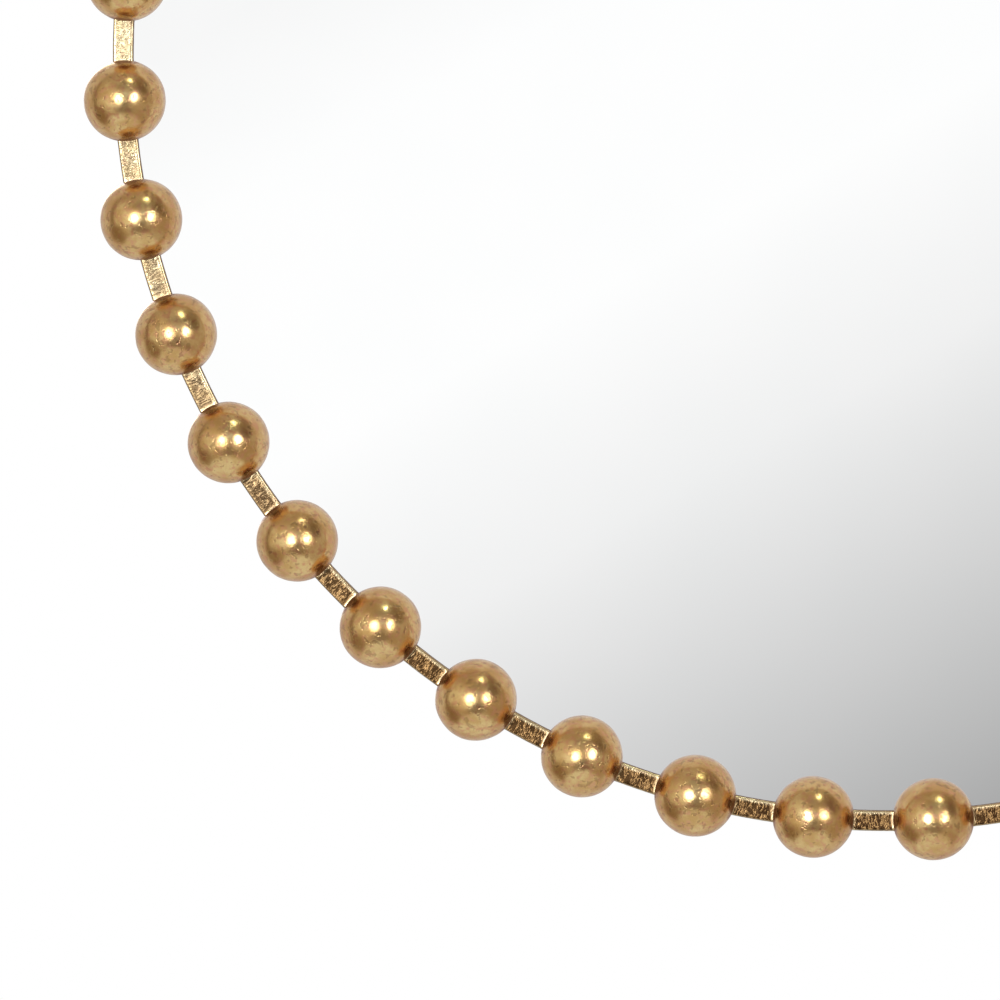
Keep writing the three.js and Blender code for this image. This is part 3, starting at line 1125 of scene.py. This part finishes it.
@dataclass
class Hanger:
    """Rolled strap, its screw and the loose D-ring in its eye.

    Attributes:
        side: Which of the two hangers.
        strap_box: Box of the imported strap.
        screw_box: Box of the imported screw.
        eye: Middle of the strap's eye.
    """

    side: Side
    strap_box: Box
    screw_box: Box
    eye: Vector
    strap_thickness_mm: float = 1.2
    roll_degrees: float = 290.0
    wire_mm: float = 1.3
    ring_half_width_mm: float = 10.5
    ring_corner_mm: float = 3.0
    ring_leg_mm: float = 7.5
    hole_mm: float = 2.1
    shank_mm: float = 1.9
    tip_mm: float = 2.0
    head_rounds_mm: tuple[float, float, float] = (0.15, 0.8, 1.0)
    head_flat: float = 0.6
    recess_mm: tuple[float, float] = (4.6, 0.9)
    recess_depth: float = 0.6
    recess_taper: float = 0.4
    recess_degrees: float = 20.0
    edge_mm: float = 0.15

    def build(self) -> None:
        """Make strap, ring and screw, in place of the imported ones."""
        steel = ZINC_PLATE.build()
        self.add("rolled_strap", "hanger_strap", self.strap(), steel, FRAME_BODY)
        self.add("steel_d_ring", "hanger_ring", self.ring(), steel, f"ring_{self.side.value}")
        self.add("cross_head_screw", "hanger_screw", self.screw(), steel, FRAME_BODY)

    def add(self, name: str, node: str, bm: Shape, steel: Material, body: str) -> None:
        """Finish one part of the hanger.

        Args:
            name: Name of the new piece, without its side.
            node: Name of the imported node, without its side.
            bm: Its shape in place.
            steel: Its material.
            body: Body that it rides on.
        """
        piece = finished_piece(f"{name}_{self.side.value}", bm, [steel], body)
        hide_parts(f"{node}_{self.side.value}")

    def strap(self) -> Shape:
        """Shape the strap: a tongue with a round end, rolled into an eye at its top.

        Returns:
            The strap in place, drilled for its screw.
        """
        low, high = self.strap_box
        # The two rounded corners stop just short of each other, so that no edge between them is lost.
        thickness, nearly_half = self.strap_thickness_mm * MM, (high.x - low.x) / 2 * 0.999
        corners = [(low.x, low.z), (high.x, low.z), (high.x, self.eye.z), (low.x, self.eye.z)]
        bm = cut_plate(corners, low.y, thickness, nearly_half, round_steps=12)
        end = [f for f in bm.faces if min(v.co.z for v in f.verts) > self.eye.z - NEAR]
        bmesh.ops.spin(
            bm, geom=end, cent=self.eye, axis=(-1, 0, 0),
            angle=math.radians(self.roll_degrees), steps=36, use_merge=False,
        )
        close_up(bm)
        break_edges(bm, self.edge_mm * MM, over_degrees=60)
        drill, hole = bmesh.new(), self.hole_mm * MM
        bmesh.ops.create_cone(drill, cap_ends=True, segments=32, radius1=hole, radius2=hole, depth=10 * MM)
        upright = Matrix.Rotation(math.pi / 2, 3, "X")
        bmesh.ops.rotate(drill, cent=(0, 0, 0), matrix=upright, verts=drill.verts)
        screw_z = (self.screw_box[0].z + self.screw_box[1].z) / 2
        bmesh.ops.translate(drill, vec=((high.x + low.x) / 2, low.y, screw_z), verts=drill.verts)
        return carved(bm, drill)

    def ring(self) -> Shape:
        """Bend the D-ring's wire round its closed path, which hangs from the eye.

        Returns:
            The ring in place, as it hangs at rest.
        """
        sizes = self.ring_half_width_mm, self.ring_corner_mm, self.ring_leg_mm
        half, corner, leg = (size * MM for size in sizes)
        bm = bmesh.new()
        bmesh.ops.create_circle(bm, segments=14, radius=self.wire_mm * MM)
        turn_end = Matrix.Rotation(math.pi / 2, 3, "Y")
        bmesh.ops.rotate(bm, cent=(0, 0, 0), matrix=turn_end, verts=bm.verts)
        place = self.eye - Vector((half - corner, 0, 0))
        bmesh.ops.translate(bm, vec=place, verts=bm.verts)
        loop = bm.edges[:]
        right, down = Vector((1, 0, 0)), Vector((0, 0, -1))
        loop = self.run(bm, loop, right * 2 * (half - corner))
        loop = self.bend(bm, loop, self.eye + right * (half - corner) + down * corner, 90, 8)
        loop = self.run(bm, loop, down * leg)
        loop = self.bend(bm, loop, self.eye + down * (corner + leg), 180, 32)
        loop = self.run(bm, loop, -down * leg)
        self.bend(bm, loop, self.eye - right * (half - corner) + down * corner, 90, 8)
        close_up(bm)
        return bm

    @staticmethod
    def run(bm: Shape, loop: Edges, way: Vector) -> Edges:
        """Draw the wire on in a straight line.

        Args:
            bm: The wire so far.
            loop: Edges round its open end.
            way: How far and in which direction it goes.

        Returns:
            Edges round its new end.
        """
        drawn = bmesh.ops.extrude_edge_only(bm, edges=loop)["geom"]
        bmesh.ops.translate(bm, vec=way, verts=[g for g in drawn if isinstance(g, bmesh.types.BMVert)])
        return [g for g in drawn if isinstance(g, bmesh.types.BMEdge)]

    @staticmethod
    def bend(
        bm: Shape, loop: Edges, centre: Vector, degrees: float, steps: int
    ) -> Edges:
        """Bend the wire on round a centre in the plane of X and Z.

        Args:
            bm: The wire so far.
            loop: Edges round its open end.
            centre: Centre of the bend.
            degrees: Angle of the bend, clockwise as seen from the front.
            steps: Number of steps in it.

        Returns:
            Edges round its new end.
        """
        bent = bmesh.ops.spin(
            bm, geom=[*loop, *{v for e in loop for v in e.verts}], cent=centre, axis=(0, 1, 0),
            angle=math.radians(degrees), steps=steps, use_merge=False,
        )["geom_last"]
        return [g for g in bent if isinstance(g, bmesh.types.BMEdge)]

    def screw(self) -> Shape:
        """Shape the screw, with a domed head and a cross recess.

        Returns:
            The screw in place.
        """
        low, high = self.screw_box
        head, shank = (high.x - low.x) / 2, self.shank_mm * MM
        seat = self.strap_box[0].y + self.strap_thickness_mm * MM
        height = high.y - seat
        brim, shoulder, crown = (size * MM for size in self.head_rounds_mm)
        corners = [
            (0.0, low.y, 0.0),
            (shank, low.y + self.tip_mm * MM, 0.0),
            (shank, seat, 0.0),
            (head, seat, brim),
            (head, seat + height / 2, shoulder),
            (head * self.head_flat, high.y, crown),
            (0.0, high.y, 0.0),
        ]
        bm = turned_stub(corners, self.screw_box, 40)
        top = Vector(((low.x + high.x) / 2, high.y, (low.z + high.z) / 2))
        length, width = (size * MM for size in self.recess_mm)
        for quarter in (0, 1):
            cutter = bmesh.new()
            bmesh.ops.create_cube(cutter, size=1.0)
            bmesh.ops.scale(cutter, vec=(length, 2 * height * self.recess_depth, width), verts=cutter.verts)
            deep = [v for v in cutter.verts if v.co.y < 0]
            bmesh.ops.scale(cutter, vec=(self.recess_taper, 1, 1), verts=deep)
            spun = Matrix.Rotation(math.radians(self.recess_degrees + 90 * quarter), 3, "Y")
            bmesh.ops.rotate(cutter, cent=(0, 0, 0), matrix=spun, verts=cutter.verts)
            bmesh.ops.translate(cutter, vec=top, verts=cutter.verts)
            bm = carved(bm, cutter)
        return bm


@dataclass
class WallBumper:
    """Rubber bumper low on the back."""

    side: Side
    box: Box
    edge_mm: float = 1.5
    small_edge_mm: float = 0.3
    dimple_mm: tuple[float, float] = (3.2, 0.8)

    def build(self) -> None:
        """Make the bumper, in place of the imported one."""
        low, high = self.box
        radius = (high.z - low.z) / 2
        dimple, depth = (size * MM for size in self.dimple_mm)
        small = self.small_edge_mm * MM
        corners = [
            (0.0, low.y, 0.0),
            (radius, low.y, small),
            (radius, high.y, self.edge_mm * MM),
            (dimple + depth, high.y, small),
            (dimple, high.y - depth, small),
            (0.0, high.y - depth, 0.0),
        ]
        bm = turned_stub(corners, self.box, 64)
        piece = finished_piece(f"rubber_bumper_{self.side.value}", bm, [RUBBER.build()])
        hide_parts(f"wall_bumper_{self.side.value}")


# ---- Studio ---------------------------------------------------------------


@dataclass(frozen=True)
class Glow:
    """One oval patch of light or shade in the studio's surround.

    Attributes:
        azimuth: Degrees to the right of the camera, seen from the mirror.
        elevation: Degrees above the horizon.
        half_width: Degrees from its middle to its edge, sideways.
        half_height: The same upwards.
        softness: Share of the half size over which the edge fades, to each side.
        tone: sRGB hex colour of what is there.
        level: Radiance as a multiple of that colour.
    """

    azimuth: float
    elevation: float
    half_width: float
    half_height: float
    softness: float
    tone: str
    level: float = 1.0

    def direction(self) -> Vector:
        """Unit vector from the mirror towards the patch."""
        aside, rise = math.radians(self.azimuth), math.radians(self.elevation)
        return Vector((math.sin(aside) * math.cos(rise), -math.cos(aside) * math.cos(rise), math.sin(rise)))

    def laid_over(self, tree: Tree, direction: Link, surround: Link) -> Link:
        """Lay the patch over the surround.

        Args:
            tree: The world's node tree.
            direction: Direction of the ray.
            surround: Colour of what lies behind the patch.

        Returns:
            Colour with the patch in it.
        """
        width, height = (math.sin(math.radians(half)) for half in (self.half_width, self.half_height))
        inputs = {
            "Vector": direction,
            "Location": self.direction(),
            "Rotation": (-math.radians(self.elevation), 0.0, math.radians(self.azimuth)),
            "Scale": (width, 1.0, height),
        }
        from_middle = add_node(tree, "Mapping", inputs, vector_type="TEXTURE")
        distance = add_node(tree, "VectorMath", {0: from_middle}, operation="LENGTH")
        inputs = {"Value": distance, "From Min": 1 + self.softness, "From Max": 1 - self.softness}
        share = add_node(tree, "MapRange", inputs, interpolation_type="SMOOTHSTEP")
        red, green, blue, _ = linear(self.tone)
        colour = (red * self.level, green * self.level, blue * self.level, 1.0)
        return add_node(tree, "Mix", {"Factor": share, 6: surround, 7: colour}, data_type="RGBA")


@dataclass
class Studio:
    """Plain soft studio: a surround with soft boxes, a pale floor and the camera.

    Attributes:
        floor_drop: How far the floor lies below the mirror's middle, in metres.
        floor_lift: What the floor gives off to the camera alone.
        front_tone: Room in front of the wall plane; rear_tone is behind it.
        rear_levels: Y of a direction where the front room starts to give way to the rear one, and
            where it has.
        late_tone: Even room that a ray meets once it has left two surfaces.
        room: Pale and dark parts of the room.
        boxes: Soft boxes.
        near_stops: Tones of a graded sheet round the camera, by their place in the picture.
        near_middle: That place on the camera's axis, and near_slope how it grows with a ray's
            slant to the right and upwards.
        near_reach: Degrees from the axis at which the sheet starts to fade, and ends.
    """

    floor_drop: float = 1.0
    floor_half_width: float = 2.0
    floor_front: float = 2.4
    floor_back: float = 2.4
    floor_tone: str = "#e9e9e8"
    floor_lift: str = "#b8bcc2"
    camera_distance: float = 10.0
    camera_turn_degrees: tuple[float, float, float] = (88.7729, -1.1127, 1.0545)
    lens_mm: float = 759.84
    sensor_mm: float = 36.0
    far_clip: float = 100.0
    front_tone: str = "#b1a497"
    rear_tone: str = "#cbc2bf"
    rear_levels: tuple[float, float] = (0.02, 0.2)
    late_tone: str = "#d3cac7"
    late_depth: float = 2.5
    room: tuple[Glow, ...] = (
        Glow(-52, 6, 34, 36, 0.4, "#cfc6b8"),
        Glow(-31, 2, 24, 20, 0.55, "#ece9e4"),
        Glow(3, -78, 39, 42, 0.07, "#d9d9d8"),
        Glow(-84, -32, 24, 20, 0.4, "#917e69"),
        Glow(-92, 0, 7, 44, 0.5, "#8a7862"),
        Glow(62, 48, 22, 18, 0.5, "#8c7c6a"),
        Glow(57, 27, 18, 16, 0.5, "#74634f"),
        Glow(8, 44, 24, 9, 0.6, "#9c968c"),
        Glow(5, 18, 10, 9, 0.6, "#bfc2c8"),
        Glow(4, -28, 26, 8, 0.45, "#8a7d72"),
        Glow(3, -12, 13, 8, 0.5, "#80766d"),
    )
    boxes: tuple[Glow, ...] = (
        Glow(-15.6, 4.8, 11, 13.5, 0.25, "#f8faff", 7.0),
        Glow(30.7, 8.8, 10, 12.5, 0.25, "#f8faff", 7.0),
        Glow(26, 59.5, 5.4, 5.4, 0.35, "#edffe8", 7.5),
        Glow(180, 20, 20, 20, 0.4, "#ffffff", 4.0),
    )
    near_slope: tuple[float, float] = (10700.0, -18190.0)
    near_stops: tuple[tuple[float, str], ...] = (
        (144, "#f8f8f8"),
        (300, "#ffffff"),
        (560, "#ffffff"),
        (770, "#f1f1f1"),
        (1145, "#b7b7b7"),
        (1450, "#6a6a6a"),
    )
    near_middle: float = 496.6
    near_reach: tuple[float, float] = (2.2, 3.6)

    def build(self) -> None:
        """Make the surround, the floor and the camera."""
        bpy.context.scene.view_settings.view_transform = "Standard"
        self.build_surround()
        self.build_floor()
        self.build_camera()

    def build_camera(self) -> None:
        """Set the camera on the mirror's axis, turned to the part of it that the picture shows."""
        data = bpy.data.cameras.new("camera")
        data.lens = self.lens_mm
        data.sensor_width = self.sensor_mm
        data.clip_end = self.far_clip
        camera = bpy.data.objects.new("camera", data)
        camera.location = (0.0, -self.camera_distance, 0.0)
        camera.rotation_euler = Euler([math.radians(a) for a in self.camera_turn_degrees], "XYZ")
        bpy.context.scene.collection.objects.link(camera)
        bpy.context.scene.camera = camera

    def build_floor(self) -> None:
        """Lay the pale floor well below the mirror, white in the picture but for a shadow."""
        bm = bmesh.new()
        bmesh.ops.create_grid(bm, x_segments=1, y_segments=1, size=1.0)
        half_depth = (self.floor_front + self.floor_back) / 2
        bmesh.ops.scale(bm, vec=(self.floor_half_width, half_depth, 1), verts=bm.verts)
        shift = (0, (self.floor_back - self.floor_front) / 2, -self.floor_drop)
        bmesh.ops.translate(bm, vec=shift, verts=bm.verts)
        mesh = bpy.data.meshes.new("floor")
        bm.to_mesh(mesh)
        bm.free()
        material = empty_material("pale_studio_floor")
        tree = material.node_tree
        seen = add_node(tree, "LightPath").outputs["Is Camera Ray"]
        matt = add_node(tree, "BsdfDiffuse", {"Color": linear(self.floor_tone)})
        lift = add_node(tree, "Emission", {"Color": linear(self.floor_lift), "Strength": seen})
        both = add_node(tree, "AddShader", {0: matt, 1: lift})
        add_node(tree, "OutputMaterial", {"Surface": both})
        mesh.materials.append(material)
        floor = bpy.data.objects.new("floor", mesh)
        floor.visible_glossy = False
        bpy.context.scene.collection.objects.link(floor)

    def build_surround(self) -> None:
        """Light the studio from all round by direction.

        The picture itself sees plain white. Light that mirror and balls throw on to one another
        comes from a plain pale room, as if flags beside the frame kept the lamps out of it.
        """
        world = bpy.data.worlds.new("studio")
        bpy.context.scene.world = world
        world.use_nodes = True
        tree = world.node_tree
        tree.nodes.clear()
        direction = add_node(tree, "TexCoord").outputs["Generated"]
        parts = add_node(tree, "SeparateXYZ", {0: direction})
        low, high = self.rear_levels
        inputs = {"Value": parts.outputs["Y"], "From Min": low, "From Max": high}
        behind = add_node(tree, "MapRange", inputs, interpolation_type="SMOOTHSTEP")
        inputs = {"Factor": behind, 6: linear(self.front_tone), 7: linear(self.rear_tone)}
        lit = add_node(tree, "Mix", inputs, data_type="RGBA")
        for glow in (*self.room, *self.boxes):
            lit = glow.laid_over(tree, direction, lit)
        lit = self.near_field(tree, parts, lit)
        rays = add_node(tree, "LightPath")
        inputs = {0: rays.outputs["Ray Depth"], 1: self.late_depth}
        thrown_on = add_node(tree, "Math", inputs, operation="GREATER_THAN")
        for share, tone in ((thrown_on, self.late_tone), (rays.outputs["Is Camera Ray"], "#ffffff")):
            lit = add_node(tree, "Mix", {"Factor": share, 6: lit, 7: linear(tone)}, data_type="RGBA")
        background = add_node(tree, "Background", {"Color": lit, "Strength": 1.0})
        add_node(tree, "OutputWorld", {"Surface": background})

    def near_field(self, tree: Tree, parts: bpy.types.Node, surround: Link) -> Link:
        """Hang a large graded sheet round the camera, which the flat glass shows.

        Args:
            tree: The world's node tree.
            parts: Node that holds the direction's x, y and z.
            surround: Colour of the rest of the studio.

        Returns:
            The surround with the graded sheet in it.
        """
        ahead = add_node(tree, "Math", {0: parts.outputs["Y"], 1: -1.0}, operation="MULTIPLY")
        along: Link | float = self.near_middle
        for axis, slope in zip("XZ", self.near_slope):
            slant = add_node(tree, "Math", {0: parts.outputs[axis], 1: ahead}, operation="DIVIDE")
            along = add_node(tree, "Math", {0: slant, 1: slope, 2: along}, operation="MULTIPLY_ADD")
        first, last = self.near_stops[0][0], self.near_stops[-1][0]
        share = add_node(tree, "MapRange", {"Value": along, "From Min": first, "From Max": last})
        ramp = add_node(tree, "ValToRGB", {"Fac": share})
        set_ramp(ramp, [((level - first) / (last - first), tone) for level, tone in self.near_stops])
        full, none = (math.cos(math.radians(reach)) for reach in self.near_reach)
        inputs = {"Value": ahead, "From Min": none, "From Max": full}
        within = add_node(tree, "MapRange", inputs, interpolation_type="SMOOTHSTEP")
        return add_node(tree, "Mix", {"Factor": within, 6: surround, 7: ramp}, data_type="RGBA")


def main() -> None:
    """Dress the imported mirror, light it and set the camera."""
    logging.basicConfig(level=logging.INFO, format="%(message)s", stream=sys.stdout)
    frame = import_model()
    Studio().build()

    hoop_width, ball_radius = 9.5 * MM, 19.25 * MM
    band_wall, tape_width = 1.5 * MM, 5.4 * MM
    weld_gap = 0.3 * MM
    hoop_low, hoop_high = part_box("hoop")
    balls = BallRing(
        count=sum(name.startswith("ball_") for name in frame["nodes"]),
        circle=hoop_high.x - hoop_width / 2,
        radius=ball_radius,
        centre_y=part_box("ball_01")[0].y + ball_radius,
        cut_y=hoop_high.y - weld_gap,
        cut_radius=hoop_high.x + weld_gap,
    )
    balls.build()
    Hoop(hoop_high.x - hoop_width, hoop_high.x, hoop_low.y, hoop_high.y, balls).build()
    RimBand(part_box("rim_band"), band_wall).build()
    Glazing(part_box("glazing_tape"), tape_width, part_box("mirror_glass"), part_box("back_panel")).build()
    tab_count = sum(name.startswith("retaining_tab_") for name in frame["nodes"])
    RetainingTabs(tab_count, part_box("retaining_tab_1")).build()
    for side in Side:
        hinge = next(j for j in frame["joints"] if j["name"] == f"hanger_ring_{side.value}_swing")
        eye = Vector(hinge["pos_m"])
        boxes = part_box(f"hanger_strap_{side.value}"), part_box(f"hanger_screw_{side.value}")
        Hanger(side, *boxes, eye).build()
        WallBumper(side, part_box(f"wall_bumper_{side.value}")).build()


if __name__ == "__main__":
    main()
